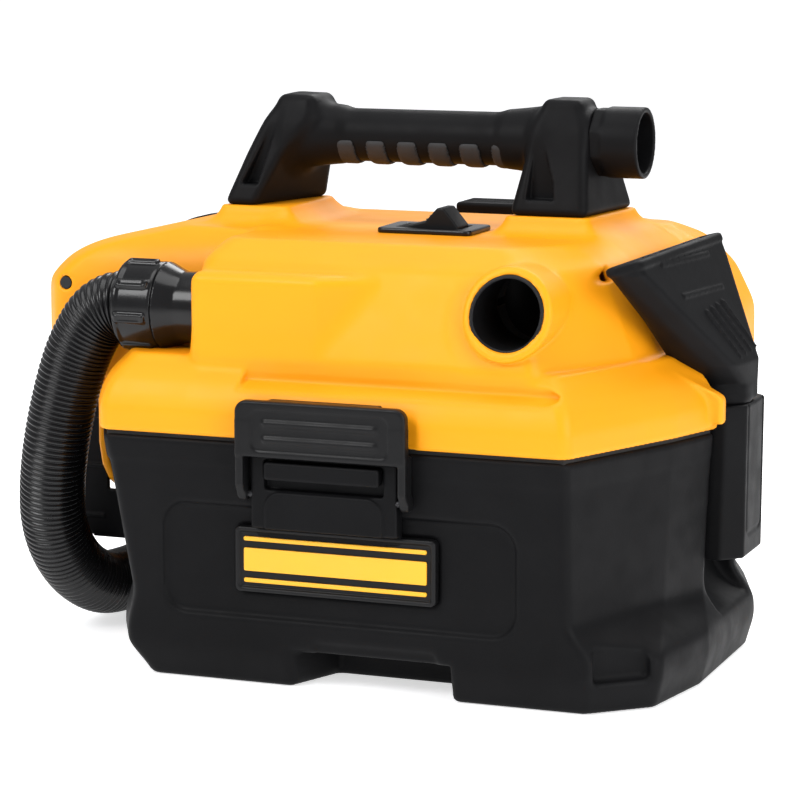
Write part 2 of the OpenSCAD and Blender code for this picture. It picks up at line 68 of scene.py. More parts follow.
def smax(a, b, k):
    """Intersection of two fields with an edge round of about k."""
    return -smin(-a, -b, k)


def others(axis):
    """The two axes that are not this one."""
    return [i for i in range(3) if i != axis]


def slab(d, t, lo, hi, e=0.0):
    """A flat distance d, limited to lo..hi along t, with its rims rounded by e."""
    a = d + e
    b = np.abs(t - (lo + hi) / 2) - (hi - lo) / 2 + e
    return np.minimum(np.maximum(a, b), 0) + length(np.maximum(a, 0), np.maximum(b, 0)) - e


def block(p, lo, hi, r=0.0):
    """Box between two corners, with its edges rounded by r."""
    lo, hi = np.array(lo, float), np.array(hi, float)
    q = np.abs(p - (lo + hi) / 2) - (hi - lo) / 2 + r
    return length(*np.maximum(q, 0).T) + np.minimum(q.max(1), 0) - r


def rod(p, axis, at, r, lo, hi, e=0.0, r2=None):
    """Round bar along an axis, tapering from r at lo to r2 at hi."""
    u, v = others(axis)
    t = p[:, axis]
    if r2 is not None:
        r = r + (r2 - r) * np.clip((t - lo) / (hi - lo), 0, 1)
    return slab(length(p[:, u] - at[0], p[:, v] - at[1]) - r, t, lo, hi, e)


def capsule(p, a, b, ra, rb):
    """Bar with round ends, from radius ra at a to rb at b."""
    a, b = np.array(a, float), np.array(b, float)
    t = np.clip((p - a) @ (b - a) / ((b - a) @ (b - a)), 0, 1)
    return length(*(p - a - t[:, None] * (b - a)).T) - (ra + (rb - ra) * t)


def inset(outline, d):
    """A counter-clockwise outline with every edge moved inwards by d."""
    o = np.array(outline, float)
    if np.sum(o[:, 0] * np.roll(o[:, 1], -1) - o[:, 1] * np.roll(o[:, 0], -1)) < 0:
        o = o[::-1]
    e = np.roll(o, -1, 0) - o
    e /= np.linalg.norm(e, axis=1)[:, None]
    nb = np.stack([-e[:, 1], e[:, 0]], 1)
    na = np.roll(nb, 1, 0)
    return o + (na + nb) * d / (1 + np.sum(na * nb, 1))[:, None]


def poly(x, y, verts):
    """Signed distance to an outline, whose corners may change from point to point."""
    d = np.full(x.shape, 1e9)
    inside = np.zeros(x.shape, bool)
    for i in range(len(verts)):
        (ax, ay), (bx, by) = verts[i - 1], verts[i]
        ex, ey, wx, wy = bx - ax, by - ay, x - ax, y - ay
        t = np.clip((wx * ex + wy * ey) / (ex * ex + ey * ey), 0, 1)
        d = np.minimum(d, (wx - ex * t) ** 2 + (wy - ey * t) ** 2)
        inside ^= ((ay > y) != (by > y)) & (wx < ex * wy / np.where(ey == 0, 1e-9, ey))
    return np.where(inside, -1, 1) * np.sqrt(d)


def prism(p, axis, outline, lo, hi, r=0.0, e=0.0):
    """Outline along an axis, with its corners rounded by r and its rims by e."""
    u, v = others(axis)
    return slab(poly(p[:, u], p[:, v], inset(outline, r)) - r, p[:, axis], lo, hi, e)


def loft(p, levels, lo, hi, r=0.0, e=0.0, soft=2.0):
    """Stack of outlines, each (height, outline), whose flanks run softly from one to the next."""
    zs = np.arange(levels[0][0] - 10, levels[-1][0] + 10, 0.5)
    flat = np.array([inset(o, r).ravel() for _, o in levels])
    table = np.stack([np.interp(zs, [z for z, _ in levels], c) for c in flat.T], 1)
    k = np.exp(-0.5 * (np.arange(-24, 25) * 0.5 / soft) ** 2)
    pad = np.pad(table, ((24, 24), (0, 0)), "edge")
    table = np.stack([np.convolve(c, k / k.sum(), "valid") for c in pad.T], 1)
    i = np.clip((p[:, 2] - zs[0]) / 0.5, 0, len(zs) - 1.001)
    j = i.astype(int)
    f = (i - j)[:, None]
    row = table[j] * (1 - f) + table[j + 1] * f
    d = poly(p[:, 0], p[:, 1], [(row[:, n], row[:, n + 1]) for n in range(0, row.shape[1], 2)])
    return slab(d - r, p[:, 2], lo, hi, e)


# ---------------------------------------------------------------- meshing

CORNERS = np.array([(i, j, k) for i in (0, 1) for j in (0, 1) for k in (0, 1)])
EDGES = [(a, b) for a in range(8) for b in range(a + 1, 8) if np.abs(CORNERS[a] - CORNERS[b]).sum() == 1]
BLOCK = 6


def grid_field(f, lo, hi, h):
    """The field on a grid, found in full only in the blocks that the surface may pass through."""
    n = np.ceil((hi - lo) / h / BLOCK).astype(int)
    mid = [lo[k] + h * (BLOCK * np.arange(n[k]) + (BLOCK - 1) / 2) for k in range(3)]
    coarse = f(np.stack(np.meshgrid(*mid, indexing="ij"), -1).reshape(-1, 3)).reshape(n)
    field = coarse.repeat(BLOCK, 0).repeat(BLOCK, 1).repeat(BLOCK, 2)
    near = np.argwhere(np.abs(coarse) < 1.5 * BLOCK * h)
    inner = np.stack(np.meshgrid(*[np.arange(BLOCK)] * 3, indexing="ij"), -1).reshape(-1, 3)
    cells = (near[:, None] * BLOCK + inner[None]).reshape(-1, 3)
    for part in np.array_split(cells, max(1, len(cells) // 200000)):
        field[tuple(part.T)] = f(lo + h * part)
    return field


def surface(f, lo, hi, h):
    """Vertices on the zero surface of f and quads between them, by naive surface nets."""
    lo, hi = np.array(lo, float) - 2.5 * h, np.array(hi, float) + 2.5 * h
    field = grid_field(f, lo, hi, h)
    inside = field < 0
    count = np.zeros(np.array(field.shape) - 1, np.int8)
    m = count.shape
    for c in CORNERS:
        count += inside[c[0]:c[0] + m[0], c[1]:c[1] + m[1], c[2]:c[2] + m[2]]
    cells = np.argwhere((count > 0) & (count < 8))
    number = np.full(m, -1)
    number[tuple(cells.T)] = np.arange(len(cells))
    value = np.stack([field[tuple((cells + c).T)] for c in CORNERS], 1)
    total, hits = np.zeros((len(cells), 3)), np.zeros(len(cells))
    for a, b in EDGES:
        cross = (value[:, a] < 0) != (value[:, b] < 0)
        t = value[:, a] / np.where(cross, value[:, a] - value[:, b], 1)
        total += np.where(cross[:, None], CORNERS[a] + t[:, None] * (CORNERS[b] - CORNERS[a]), 0)
        hits += cross
    v = lo + h * (cells + total / hits[:, None])
    quads = []
    for a in range(3):
        u, w = (a + 1) % 3, (a + 2) % 3
        first = np.take(inside, range(field.shape[a] - 1), a)
        second = np.take(inside, range(1, field.shape[a]), a)
        at = np.argwhere(first != second)
        at = at[(at[:, u] > 0) & (at[:, w] > 0)]
        out = inside[tuple(at.T)]
        ring = []
        for du, dw in ((1, 1), (0, 1), (0, 0), (1, 0)):
            q = at.copy()
            q[:, u] -= du
            q[:, w] -= dw
            ring.append(number[tuple(q.T)])
        ring = np.stack(ring, 1)
        quads.append(np.where(out[:, None], ring, ring[:, ::-1]))
    quads = np.concatenate(quads)
    quads = quads[(quads >= 0).all(1)]
    for turn in range(3):
        if turn:
            v = relaxed(v, quads)
        for _ in range(2):
            v = onto(f, v, h)
    return v, quads


def onto(f, v, h):
    """Points moved towards the zero surface of f."""
    d = f(v)
    g = np.stack([f(v + 0.1 * axis) - d for axis in np.eye(3)], 1) / 0.1
    size = np.maximum(length(*g.T), 0.3)
    return v - (np.clip(d / size, -h, h) / size)[:, None] * g


def relaxed(v, quads):
    """Points moved towards the middle of their neighbours."""
    total, hits = np.zeros_like(v), np.zeros(len(v))
    for s in (1, 3):
        other = quads[:, [(k + s) % 4 for k in range(4)]].ravel()
        for k in range(3):
            total[:, k] += np.bincount(quads.ravel(), v[other, k], len(v))
        hits += np.bincount(quads.ravel(), None, len(v))
    return 0.45 * v + 0.55 * total / np.maximum(hits, 1)[:, None]


def mesh_object(name, v, quads, material, smooth=True):
    """An object from points in millimetres and its faces."""
    mesh = bpy.data.meshes.new(name)
    n, k = quads.shape
    mesh.vertices.add(len(v))
    mesh.vertices.foreach_set("co", (np.asarray(v, float) * MM).astype(np.float32).ravel())
    mesh.loops.add(n * k)
    mesh.loops.foreach_set("vertex_index", quads.astype(np.int32).ravel())
    mesh.polygons.add(n)
    mesh.polygons.foreach_set("loop_start", (np.arange(n) * k).astype(np.int32))
    mesh.update(calc_edges=True)
    mesh.validate()
    mesh.polygons.foreach_set("use_smooth", np.full(len(mesh.polygons), smooth))
    mesh.materials.append(material)
    o = bpy.data.objects.new(name, mesh)
    bpy.context.scene.collection.objects.link(o)
    return o


def solid(name, f, lo, hi, h, body, material, nodes=()):
    """A piece made from a field, riding on a body and standing for CAD nodes."""
    v, quads = surface(f, lo, hi, h)
    o = mesh_object(name, v, quads, material)
    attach(o, body)
    if nodes:
        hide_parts(*nodes)
    return o


# ---------------------------------------------------------------- materials


def material(name, colour, rough, grain=None, bump=0.0, spread=0.06, metal=0.0, coat=0.0, specular=0.5,
             rough_spread=0.06, patch=14.0, wear=0.0, sheen=0.0):
    """Plastic, rubber or metal: slow colour drift, finer roughness drift, moulded grain and rubbed edges."""
    m = bpy.data.materials.new(name)
    m.use_nodes = True
    t = m.node_tree
    s = t.nodes["Principled BSDF"]
    s.inputs["Metallic"].default_value = metal
    s.inputs["Specular IOR Level"].default_value = specular
    s.inputs["Coat Weight"].default_value = coat
    s.inputs["Coat Roughness"].default_value = 0.12
    s.inputs["Sheen Weight"].default_value = sheen
    where = t.nodes.new("ShaderNodeTexCoord").outputs["Object"]

    def noise(scale, detail=3.0):
        n = t.nodes.new("ShaderNodeTexNoise")
        n.inputs["Scale"].default_value = scale
        n.inputs["Detail"].default_value = detail
        t.links.new(where, n.inputs["Vector"])
        return n.outputs["Fac"]

    def ramp(source, low, high):
        r = t.nodes.new("ShaderNodeMapRange")
        r.inputs["From Min"].default_value = 0.3
        r.inputs["From Max"].default_value = 0.7
        r.inputs["To Min"].default_value = low
        r.inputs["To Max"].default_value = high
        t.links.new(source, r.inputs["Value"])
        return r.outputs["Result"]

    mix = t.nodes.new("ShaderNodeMix")
    mix.data_type = "RGBA"
    mix.inputs[6].default_value = [c * (1 - spread) for c in colour] + [1]
    mix.inputs[7].default_value = [min(1, c * (1 + spread)) for c in colour] + [1]
    t.links.new(ramp(noise(patch), 0, 1), mix.inputs[0])
    base = mix.outputs[2]
    if wear:
        edge = t.nodes.new("ShaderNodeNewGeometry").outputs["Pointiness"]
        sharp = t.nodes.new("ShaderNodeMapRange")
        sharp.inputs["From Min"].default_value = 0.52
        sharp.inputs["From Max"].default_value = 0.62
        sharp.inputs["To Max"].default_value = wear
        t.links.new(edge, sharp.inputs["Value"])
        rub = t.nodes.new("ShaderNodeMix")
        rub.data_type = "RGBA"
        rub.inputs[7].default_value = [min(1, c * 1.6 + 0.02) for c in colour] + [1]
        t.links.new(sharp.outputs["Result"], rub.inputs[0])
        t.links.new(base, rub.inputs[6])
        base = rub.outputs[2]
    t.links.new(base, s.inputs["Base Color"])
    t.links.new(ramp(noise(60.0), max(0.03, rough - rough_spread), rough + rough_spread), s.inputs["Roughness"])
    if grain:
        height = t.nodes.new("ShaderNodeMix")
        height.inputs[0].default_value = 0.45
        t.links.new(noise(1000 / grain, 2.0), height.inputs[2])
        t.links.new(noise(300 / grain, 4.0), height.inputs[3])
        b = t.nodes.new("ShaderNodeBump")
        b.inputs["Strength"].default_value = bump
        b.inputs["Distance"].default_value = 0.0004
        t.links.new(height.outputs[0], b.inputs["Height"])
        t.links.new(b.outputs["Normal"], s.inputs["Normal"])
    return m


YELLOW = material("yellow_moulding", (0.87, 0.32, 0.004), 0.46, 0.8, 0.10, 0.035, specular=0.22, rough_spread=0.05,
                  patch=9, wear=0.25)
BLACK = material("black_spark_moulding", (0.0045, 0.0045, 0.005), 0.52, 0.7, 0.22, 0.2, specular=0.08, wear=0.3)
HANDLE = material("black_handle_moulding", (0.0045, 0.0045, 0.005), 0.5, 0.9, 0.16, 0.16, specular=0.08, wear=0.3)
SATIN = material("black_satin_moulding", (0.0055, 0.0055, 0.006), 0.4, 1.1, 0.1, 0.16, specular=0.16, wear=0.3)
GLOSS = material("black_gloss_moulding", (0.004, 0.004, 0.0045), 0.2, 2.4, 0.05, 0.1, specular=0.3, rough_spread=0.04,
                 wear=0.2)
HOSE = material("black_hose_plastic", (0.004, 0.004, 0.0045), 0.24, 1.4, 0.08, 0.12, specular=0.32, rough_spread=0.04)
PADS = material("dark_grip_rubber", (0.022, 0.022, 0.023), 0.68, 0.6, 0.35, 0.12, specular=0.35)
PAINT = material("yellow_print", (0.87, 0.42, 0.012), 0.36, 1.2, 0.08, 0.03)
RUBBER = material("gasket_rubber", (0.012, 0.012, 0.012), 0.75, 0.8, 0.3, 0.1, specular=0.3)
STEEL = material("zinc_steel", (0.55, 0.55, 0.57), 0.32, 0.7, 0.15, 0.06, metal=1.0)
OXIDE = material("black_oxide_steel", (0.03, 0.03, 0.032), 0.42, 0.7, 0.15, 0.1, metal=0.8)
IRON = material("stacked_iron", (0.22, 0.22, 0.23), 0.5, 0.6, 0.4, 0.1, metal=0.9)
COPPER = material("varnished_copper", (0.62, 0.24, 0.09), 0.38, 0.9, 0.6, 0.12, metal=0.9)
ALLOY = material("cast_alloy", (0.62, 0.62, 0.64), 0.45, 0.7, 0.35, 0.06, metal=0.95)
PAPER = material("pleated_paper", (0.76, 0.74, 0.68), 0.85, 0.5, 0.45, 0.05, specular=0.2)
ORANGE = material("orange_float", (0.8, 0.2, 0.02), 0.4, 1.0, 0.12, 0.05)
BOARD = material("green_board", (0.02, 0.16, 0.05), 0.45, 0.8, 0.25, 0.15)
FOAM = material("open_cell_foam", (0.05, 0.05, 0.052), 0.9, 1.6, 1.0, 0.25, specular=0.15)
RED = material("red_button", (0.55, 0.02, 0.015), 0.4, 0.9, 0.12, 0.06)

CAD_LOOKS = {
    "tank_gasket": RUBBER, "latch_pin": OXIDE, "motor_deck": BLACK, "inlet_tube": SATIN,
    "handle_screws": STEEL, "head_screws": OXIDE, "motor_housing": SATIN, "motor_stator": IRON,
    "motor_armature": COPPER, "motor_shaft": STEEL, "motor_bearings": STEEL, "fan_housing": SATIN,
    "fan_wheel": ALLOY, "fan_nut": STEEL, "filter_cage": SATIN, "filter_element": PAPER,
    "filter_knob": YELLOW, "float_ball": ORANGE, "control_board": BOARD, "terminal_block": GLOSS,
    "muffler_foam": FOAM, "hose_stub": SATIN,
}
for node, look in CAD_LOOKS.items():
    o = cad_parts[node]
    o.data.materials.clear()
    o.data.materials.append(look)
    bevel = o.modifiers.new("soft_edges", "BEVEL")
    bevel.width = 0.0004
    bevel.segments = 2
    bevel.limit_method = "ANGLE"
    bevel.angle_limit = math.radians(40)

# ---------------------------------------------------------------- hose

HOSE_ROUTE = [
    (-131, -92, 200), (-139, -92, 199), (-148, -92, 194), (-156, -92, 184), (-165, -92, 166), (-173, -92, 140),
    (-179, -91, 114), (-184, -86, 90), (-187, -79, 70), (-187, -68, 51), (-184, -53, 35), (-180, -32, 24),
    (-177, -4, 21), (-175, 30, 21), (-173, 66, 21), (-164, 101, 21), (-140, 125, 21), (-106, 132, 21),
    (-66, 133, 21), (-26, 133, 21), (14, 133, 21), (54, 133, 21), (88, 133, 22), (118, 132, 27),
    (141, 131, 43), (148, 130, 66), (137, 130, 88), (112, 130, 99), (80, 130, 102), (44, 130, 102),
    (8, 130, 102), (-32, 130, 102), (-72, 130, 102), (-110, 130, 102), (-144, 126, 102), (-172, 108, 102),
    (-184, 80, 102), (-187, 52, 102)]
HOSE_R = 19.0
RIB_PITCH = 3.05
RIB_STEPS = 6


def spline(points, per):
    """Smooth curve through points, per steps to each."""
    p = np.array(points, float)
    q = np.concatenate([p[:1], p, p[-1:]])
    t = np.linspace(0, 1, per, endpoint=False)[:, None]
    out = [0.5 * (2 * b + (c - a) * t + (2 * a - 5 * b + 4 * c - d) * t ** 2 + (3 * b - a - 3 * c + d) * t ** 3)
           for a, b, c, d in zip(q, q[1:], q[2:], q[3:])]
    return np.concatenate(out + [p[-1:]])


def along(curve, step):
    """The curve again, in equal steps."""
    s = np.concatenate([[0], np.cumsum(np.linalg.norm(np.diff(curve, axis=0), axis=1))])
    at = np.linspace(0, s[-1], int(round(s[-1] / step)) + 1)
    return np.stack([np.interp(at, s, c) for c in curve.T], 1), at


def tube(centres, radii, sides, first_up):
    """Rings of the given radii round a centre line, joined into a tube with open ends."""
    d = np.gradient(centres, axis=0)
    d[0], d[-1] = (-1, 0, 0), (0, -1, 0)
    d /= np.linalg.norm(d, axis=1)[:, None]
    up = np.array(first_up, float)
    a = np.arange(sides) * 2 * math.pi / sides
    rings = []
    for c, t, r in zip(centres, d, radii):
        up -= up @ t * t
        up /= np.linalg.norm(up)
        rings.append(c + r * (np.cos(a)[:, None] * up + np.sin(a)[:, None] * np.cross(t, up)))
    v = np.concatenate(rings)
    n = len(centres)
    i, k = np.meshgrid(np.arange(n - 1), np.arange(sides), indexing="ij")
    j = (k + 1) % sides
    quads = np.stack([i * sides + k, i * sides + j, (i + 1) * sides + j, (i + 1) * sides + k], -1)
    return v, quads.reshape(-1, 4)


hose_curve, hose_at = along(spline(HOSE_ROUTE, 12), RIB_PITCH / RIB_STEPS)
rib = np.abs(np.sin(math.pi * hose_at / RIB_PITCH)) ** 0.75
hose_v, hose_quads = tube(hose_curve, HOSE_R - 2.1 + 2.0 * rib, 48, (0, 0, 1))
hose = mesh_object("ribbed_hose", hose_v, hose_quads[:, ::-1], HOSE)
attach(hose, "head_body")
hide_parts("hose")


def cuff_shape(p):
    """End cuff of the hose, ribbed round its collar."""
    x, _, z = HOSE_ROUTE[-1]
    d = rod(p, 1, (x, z), 18.0, 2, 52, 1.0)
    d = smin(d, rod(p, 1, (x, z), 20.0, 34, 52, 1.5), 2.5)
    for a in range(0, 360, 45):
        c, s = math.cos(math.radians(a)), math.sin(math.radians(a))
        d = smin(d, rod(p, 1, (x + 19.2 * c, z + 19.2 * s), 1.2, 36, 50, 0.8), 1.0)
    return np.maximum(d, -rod(p, 1, (x, z), 16.05, -10, 29))


cuff = solid("parked_hose_cuff", cuff_shape, (-209, 0, 80), (-165, 54, 124), 1.2, "head_body", GLOSS,
             ["hose_cuff"])

# ---------------------------------------------------------------- outlines shared by tank and head

RIM = [(-124, -138), (141, -138), (176, -56), (188, -20), (186, 56), (165, 96), (145, 110), (-118, 110),
       (-138, 96), (-149, 56), (-149, -62), (-138, -110)]
WAIST = [(-108, -137), (143, -137), (174, -62), (185, -22), (185, 48), (168, 94), (146, 108), (-112, 108),
         (-131, 94), (-143, 50), (-143, -62), (-124, -104)]
FOOT_MID = [(-112, -138), (154, -138), (187, -108), (197, -51), (197, 48), (180, 96), (152, 110), (-116, 110),
            (-136, 95), (-147, 52), (-146, -60), (-130, -104)]
FOOT_LOW = [(-98, -133), (152, -133), (182, -106), (192, -51), (192, 46), (176, 92), (150, 106), (-112, 106),
            (-130, 92), (-140, 50), (-138, -58), (-120, -100)]
WELL = [(-92, -96), (138, -96), (152, -60), (160, -36), (160, 46), (152, 90), (140, 102), (-104, 102),
        (-118, 90), (-128, 48), (-128, -58), (-112, -92)]
CAVITY = [(-98, -129), (136, -129), (156, -62), (160, -36), (160, 46), (158, 90), (140, 103), (-108, 103),
          (-126, 90), (-136, 48), (-136, -58), (-118, -100)]
BAND = inset(RIM, -3)


def rounded_rect(x0, x1, z0, z1):
    return [(x0, z0), (x1, z0), (x1, z1), (x0, z1)]


def tank_shape(p):
    d = loft(p, [(0, FOOT_LOW), (18, FOOT_MID), (30, inset(FOOT_MID, 0.6)), (46, WAIST), (134, RIM)],
             0, 134, r=7, e=2.5, soft=3.0)
    # lip under the seam and the shoulder line low on the front
    d = smin(d, loft(p, [(118, inset(RIM, 1.5)), (134, inset(RIM, -0.6))], 121, 134, r=7, e=1.5), 3)
    well = loft(p, [(5, WELL), (24, WELL), (34, CAVITY), (136, CAVITY)], 5, 150, r=6, e=3)
    d = smax(d, -well, 1.5)
    # recessed front panel, badge pocket and the broad step round them
    d = smax(d, -prism(p, 1, rounded_rect(-90, 114, 38, 99), -160, -134.6, r=14, e=0.5), 2.2)
    d = smax(d, -prism(p, 1, rounded_rect(-46.5, 70.5, 51.5, 89.5), -160, -133.4, r=4), 1.0)
    # finger notch
    notch = prism(p, 2, [(-24, -160), (0, -100), (77, -100), (77, -160)], -10, 20, r=3, e=0.5)
    d = smax(d, -notch, 5)
    d = smax(d, -block(p, (-2, -160, -10), (70, -134.5, 27), 4), 3)
    # shallow pocket in the lower right chamfer, lying along that face
    u = np.array((0.74, 0.67, 0))
    n = np.array((0.67, -0.74, 0))
    q = np.stack([(p - (168, -122, 26)) @ u, (p - (168, -122, 26)) @ n, p[:, 2] - 26], 1)
    d = smax(d, -block(q, (-16, -4.5, -9), (17, 30, 9), 3), 3)
    # channel for the tool holder, scooped out below
    channel = block(p, (164, -18.5, 58), (230, 42, 160), 2)
    scoop = rod(p, 1, (202, 64), 32, -18.5, 42, 3)
    return smax(d, -smin(channel, scoop, 6), 2)


solid("tank_moulding", tank_shape, (-152, -141, 0), (200, 112, 135), 1.9, "tank_body", BLACK,
      ["tank"])


def badge_shape(p):
    d = prism(p, 1, rounded_rect(-46, 70, 52.5, 88.5), -139.5, -133.5, r=3, e=0.6)
    return np.maximum(d, -prism(p, 1, rounded_rect(-43.4, 67.4, 55.1, 85.9), -150, -138.2, r=1.6))


solid("badge_plate_moulding", badge_shape, (-47, -140, 52), (71, -133, 89), 0.9, "tank_body", SATIN,
      ["badge_plate"])


def bars_shape(p):
    d = np.full(len(p), 1e9)
    for z, half in ((59, 1.2), (70.5, 6.4), (82, 1.2)):
        d = np.minimum(d, prism(p, 1, rounded_rect(-41, 65, z - half, z + half), -139.3, -138.0, r=0.9, e=0.35))
    return d


solid("badge_bar_set", bars_shape, (-42, -140, 57), (66, -137.5, 84), 0.55, "tank_body", PAINT,
      ["badge_bars"])

# ---------------------------------------------------------------- latch

LATCH_X = 8
LATCH_HINGE = (-142.5, 108)


def bracket_shape(p):
    d = prism(p, 1, rounded_rect(-34, 50, 84, 129.5), -144.6, -136, r=2, e=0.8)
    # raised pad with rounded shoulders
    d = smin(d, prism(p, 1, rounded_rect(-26, 42, 70, 110), -146.0, -137, r=9, e=0.8), 0.8)
    bar = prism(p, 1, rounded_rect(-25, 41, 117, 126.5), -148.5, -142, r=1.5, e=0.8)
    slot = prism(p, 1, rounded_rect(-26.5, 42.5, 110.8, 127.6), -160, -139.5, r=2, e=0.4)
    d = smin(smax(d, -slot, 0.8), bar, 0.4)
    d = np.maximum(d, -prism(p, 1, rounded_rect(-50, 74, 60, 89.4), -150, -138.6))
    return np.maximum(d, 136 + p[:, 1])


def lever_shape(p):
    x, y, z = p.T
    d = prism(p, 1, rounded_rect(-41, 57, 129.5, 160), -151, -144.5, r=6.5, e=1.6)
    d = np.maximum(smin(d, prism(p, 1, rounded_rect(-41, 57, 129.5, 150), -151, -144.5, r=1.2, e=1.2), 0.5), 129.5 - z)
    for side in (-1, 1):
        mid = LATCH_X + side * 46.75
        arm = block(p, (mid - 2.25, -150.4, 107), (mid + 2.25, -140.0, 134), 0.9)
        eye = rod(p, 0, LATCH_HINGE, 4.2, mid - 2.25, mid + 2.25, 0.7)
        relief = slab(poly(y, z, [(-152, 100), (-146.5, 100), (-146.5, 107), (-152, 116)]), x, -60, 80)
        d = smin(d, np.maximum(smin(arm, eye, 2), -relief), 1.2)
    # finger ridges over a shallow hollow
    d = smax(d, -prism(p, 1, rounded_rect(-31, 47, 133, 155), -156, -150.4, r=4, e=0.2), 0.8)
    for zr in (139.0, 148.0):
        d = smin(d, capsule(p, (-23, -149.7, zr), (39, -149.7, zr), 2.1, 2.1), 1.2)
    hook = block(p, (-24, -146, 155), (40, -139.2, 159.8), 0.6)
    return smin(d, hook, 0.6)


solid("latch_bracket_moulding", bracket_shape, (-35, -149, 83), (51, -135, 130), 0.95, "tank_body", BLACK,
      ["latch_bracket"])
solid("latch_lever_moulding", lever_shape, (-42, -152, 102), (58, -138, 161), 0.95, "lever", SATIN,
      ["latch_lever"])

# ---------------------------------------------------------------- head

MAIN = [
    (151, [(-80, -124), (118, -124), (152, -56), (159, -30), (159, 60), (156, 150), (-80, 150)]),
    (178, [(-80, -128), (120, -128), (155, -58), (160, -30), (160, 60), (158, 150), (-80, 150)]),
    (230, [(-80, -110), (106, -108), (136, -60), (144, -28), (150, 58), (140, 116), (-80, 116)]),
    (240, [(-72, -90), (92, -88), (116, -52), (126, -20), (134, 50), (120, 76), (-72, 76)])]
WING = [
    (151, [(-201, -46), (-189, -60), (-60, -60), (-60, 149), (-181, 149), (-201, 130)]),
    (158, [(-204, -46), (-192, -62), (-60, -62), (-60, 151), (-184, 151), (-204, 132)]),
    (182, [(-204, -46), (-192, -62), (-60, -62), (-60, 148), (-182, 148), (-204, 127)]),
    (208, [(-204, -46), (-192, -62), (-60, -62), (-60, 130), (-172, 130), (-194, 106)]),
    (222, [(-191, -42), (-179, -58), (-60, -60), (-60, 121), (-160, 114), (-182, 88)]),
    (231, [(-172, -37), (-160, -52), (-60, -57), (-60, 112), (-146, 98), (-166, 70)]),
    (240, [(-122, -26), (-112, -42), (-60, -52), (-60, 75), (-112, 74), (-121, 62)])]
HEEL = [
    (151, [(130, 50), (176, 50), (176, 120), (160, 149), (130, 149)]),
    (190, [(130, 50), (177, 54), (177, 116), (160, 143), (130, 143)]),
    (216, [(130, 54), (168, 58), (168, 104), (150, 124), (130, 124)]),
    (232, [(126, 56), (154, 60), (154, 90), (138, 112), (126, 112)]),
    (240, [(110, 58), (134, 60), (134, 68), (124, 80), (110, 80)])]
SHOULDER = [(137, BAND), (150, BAND), (158, inset(BAND, 2.6)), (165, inset(BAND, 6.5)), (171, inset(BAND, 12)),
            (177, inset(BAND, 19))]
# outline on the deck and outline under the handle, for the left and the right post
HANDLE_FEET = [
    ([(-118, -40), (-34, -40), (-34, 66), (-118, 66)], [(-106, -21), (-65, -21), (-65, 51), (-100, 51)]),
    ([(54, -42), (134, -42), (134, 66), (60, 66)], [(67, -21), (115, -21), (123, 51), (75, 51)])]
INLET = (-92, 200)
COWL = (-160, 175)
PORT = np.array((103.0, -121.5, 209.0))
LEAN = np.array((0.0, -0.945, 0.327))


def port_frame(p):
    """Distance out from the sloping face of the port, and from its axis."""
    return (p - PORT) @ LEAN, length(p[:, 0] - PORT[0], p[:, 2] - PORT[2])


def head_base(p):
    d = loft(p, SHOULDER, 137, 178, r=9, e=2, soft=2.0)
    body = loft(p, MAIN, 151, 240, r=11, e=3.5, soft=3.2)
    wing = loft(p, WING, 151, 240, r=13, e=3.5, soft=3.5)
    heel = loft(p, HEEL, 151, 240, r=13, e=3.5, soft=4)
    d = smin(d, body, 4)
    return smin(smin(d, wing, 7), heel, 6)


def head_outer(p):
    """Head with the groove from behind the latch to the pointed tip at the right."""
    floor = np.interp(p[:, 2], [156, 161, 167.5, 180.5, 190], [-150, -139.5, -125.5, -129, -134])
    outline = [(-46, 160), (-44, 172), (-36, 180.5), (40, 181.5), (108, 180.5), (122, 176), (137, 167),
               (122, 161.5), (60, 160)]
    groove = smax(prism(p, 1, outline, -170, -100, r=1.5), (p[:, 1] - floor) * 0.8, 1.5)
    return smax(head_base(p), -groove, 2.2)


